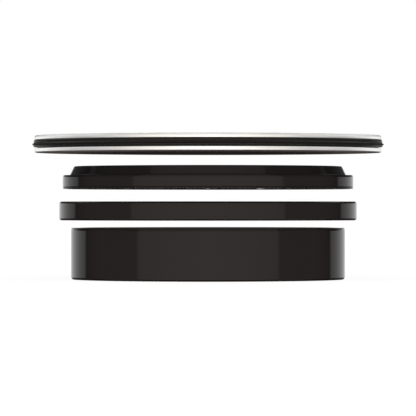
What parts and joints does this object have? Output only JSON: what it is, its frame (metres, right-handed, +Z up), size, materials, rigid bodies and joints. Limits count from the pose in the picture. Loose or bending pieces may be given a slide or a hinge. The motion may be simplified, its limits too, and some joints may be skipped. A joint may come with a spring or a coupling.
{
  "type": "garbage disposal inlet and cover set",
  "caption": "Round sink-side set of a kitchen garbage disposal: steel-faced cover with a rubber seal, stepped guard ring with a splash baffle, clamp ring and throat collar, pulled apart.",
  "frame": {"origin": "centre of the collar's bottom face", "axes": "+Z up along the common axis, from the throat collar to the cover; +Y to the back, +X to the right"},
  "size_m": [0.1146, 0.1146, 0.0468],
  "materials": {
    "collar_shell": "glossy black moulding",
    "throat_liner": "polished stainless sleeve",
    "liner_oring": "black rubber",
    "liner_snap_ring": "spring steel",
    "clamp_ring_body": "glossy black moulding",
    "clamp_gasket": "black rubber",
    "clamp_screw_1": "plain steel",
    "clamp_screw_2": "plain steel",
    "clamp_screw_3": "plain steel",
    "guard_ring_body": "glossy black moulding",
    "guard_face_seal": "black rubber",
    "baffle_rim": "black rubber",
    "baffle_leaf_1": "black rubber",
    "baffle_leaf_2": "black rubber",
    "baffle_leaf_3": "black rubber",
    "baffle_leaf_4": "black rubber",
    "baffle_leaf_5": "black rubber",
    "baffle_leaf_6": "black rubber",
    "baffle_retainer": "polished stainless",
    "retainer_screw_1": "plain steel",
    "retainer_screw_2": "plain steel",
    "retainer_screw_3": "plain steel",
    "guard_screw_1": "plain steel",
    "guard_screw_2": "plain steel",
    "guard_screw_3": "plain steel",
    "keeper_1": "plated steel",
    "keeper_2": "plated steel",
    "keeper_3": "plated steel",
    "cover_top_plate": "polished stainless",
    "cover_seal": "black rubber",
    "cover_core": "black moulding",
    "cover_bottom_plate": "polished stainless",
    "cover_base_pad": "matt black rubber",
    "cover_magnet_1": "nickel-plated magnet",
    "cover_magnet_2": "nickel-plated magnet",
    "cover_magnet_3": "nickel-plated magnet",
    "cover_screw_1": "plain steel",
    "cover_screw_2": "plain steel",
    "cover_screw_3": "plain steel"
  },
  "bodies": {
    "collar": {"collar_shell": "collar_shell", "throat_liner": "throat_liner", "liner_oring": "liner_oring", "liner_snap_ring": "liner_snap_ring"},
    "clamp_ring": {"clamp_ring_body": "clamp_ring_body", "clamp_gasket": "clamp_gasket", "clamp_screw_1": "clamp_screw_1", "clamp_screw_2": "clamp_screw_2", "clamp_screw_3": "clamp_screw_3"},
    "guard_ring": {"guard_ring_body": "guard_ring_body", "guard_face_seal": "guard_face_seal", "baffle_rim": "baffle_rim", "baffle_retainer": "baffle_retainer", "retainer_screw_1": "retainer_screw_1", "retainer_screw_2": "retainer_screw_2", "retainer_screw_3": "retainer_screw_3", "keeper_1": "keeper_1", "keeper_2": "keeper_2", "keeper_3": "keeper_3"},
    "cover": {"cover_top_plate": "cover_top_plate", "cover_seal": "cover_seal", "cover_core": "cover_core", "cover_bottom_plate": "cover_bottom_plate", "cover_base_pad": "cover_base_pad", "cover_magnet_1": "cover_magnet_1", "cover_magnet_2": "cover_magnet_2", "cover_magnet_3": "cover_magnet_3", "cover_screw_1": "cover_screw_1", "cover_screw_2": "cover_screw_2", "cover_screw_3": "cover_screw_3"},
    "leaf_1": {"baffle_leaf_1": "baffle_leaf_1"},
    "leaf_2": {"baffle_leaf_2": "baffle_leaf_2"},
    "leaf_3": {"baffle_leaf_3": "baffle_leaf_3"},
    "leaf_4": {"baffle_leaf_4": "baffle_leaf_4"},
    "leaf_5": {"baffle_leaf_5": "baffle_leaf_5"},
    "leaf_6": {"baffle_leaf_6": "baffle_leaf_6"},
    "guard_screw_1": {"guard_screw_1": "guard_screw_1"},
    "guard_screw_2": {"guard_screw_2": "guard_screw_2"},
    "guard_screw_3": {"guard_screw_3": "guard_screw_3"}
  },
  "joints": [
    {"name": "clamp_ring_seat", "type": "slide", "parent": "collar", "child": "clamp_ring", "axis": [0, 0, 1], "range_m": [-0.0054, 0]},
    {"name": "guard_ring_seat", "type": "slide", "parent": "clamp_ring", "child": "guard_ring", "axis": [0, 0, 1], "range_m": [-0.00375, 0]},
    {"name": "cover_seat", "type": "slide", "parent": "guard_ring", "child": "cover", "axis": [0, 0, 1], "range_m": [-0.0041, 0]},
    {"name": "leaf_1_bend", "type": "hinge", "parent": "guard_ring", "child": "leaf_1", "pos_m": [0.0275, 0, 0.03125], "axis": [0, -1, 0], "range_deg": [0, 55], "stiffness_Nm_per_rad": 0.012},
    {"name": "leaf_2_bend", "type": "hinge", "parent": "guard_ring", "child": "leaf_2", "pos_m": [0.01375, 0.02382, 0.03125], "axis": [0.866, -0.5, 0], "range_deg": [0, 55], "stiffness_Nm_per_rad": 0.012},
    {"name": "leaf_3_bend", "type": "hinge", "parent": "guard_ring", "child": "leaf_3", "pos_m": [-0.01375, 0.02382, 0.03125], "axis": [0.866, 0.5, 0], "range_deg": [0, 55], "stiffness_Nm_per_rad": 0.012},
    {"name": "leaf_4_bend", "type": "hinge", "parent": "guard_ring", "child": "leaf_4", "pos_m": [-0.0275, 0, 0.03125], "axis": [0, 1, 0], "range_deg": [0, 55], "stiffness_Nm_per_rad": 0.012},
    {"name": "leaf_5_bend", "type": "hinge", "parent": "guard_ring", "child": "leaf_5", "pos_m": [-0.01375, -0.02382, 0.03125], "axis": [-0.866, 0.5, 0], "range_deg": [0, 55], "stiffness_Nm_per_rad": 0.012},
    {"name": "leaf_6_bend", "type": "hinge", "parent": "guard_ring", "child": "leaf_6", "pos_m": [0.01375, -0.02382, 0.03125], "axis": [-0.866, -0.5, 0], "range_deg": [0, 55], "stiffness_Nm_per_rad": 0.012},
    {"name": "guard_screw_1_drive", "type": "slide", "parent": "guard_ring", "child": "guard_screw_1", "axis": [0, 0, 1], "range_m": [-0.0033, 0]},
    {"name": "guard_screw_2_drive", "type": "slide", "parent": "guard_ring", "child": "guard_screw_2", "axis": [0, 0, 1], "range_m": [-0.0033, 0]},
    {"name": "guard_screw_3_drive", "type": "slide", "parent": "guard_ring", "child": "guard_screw_3", "axis": [0, 0, 1], "range_m": [-0.0033, 0]}
  ]
}
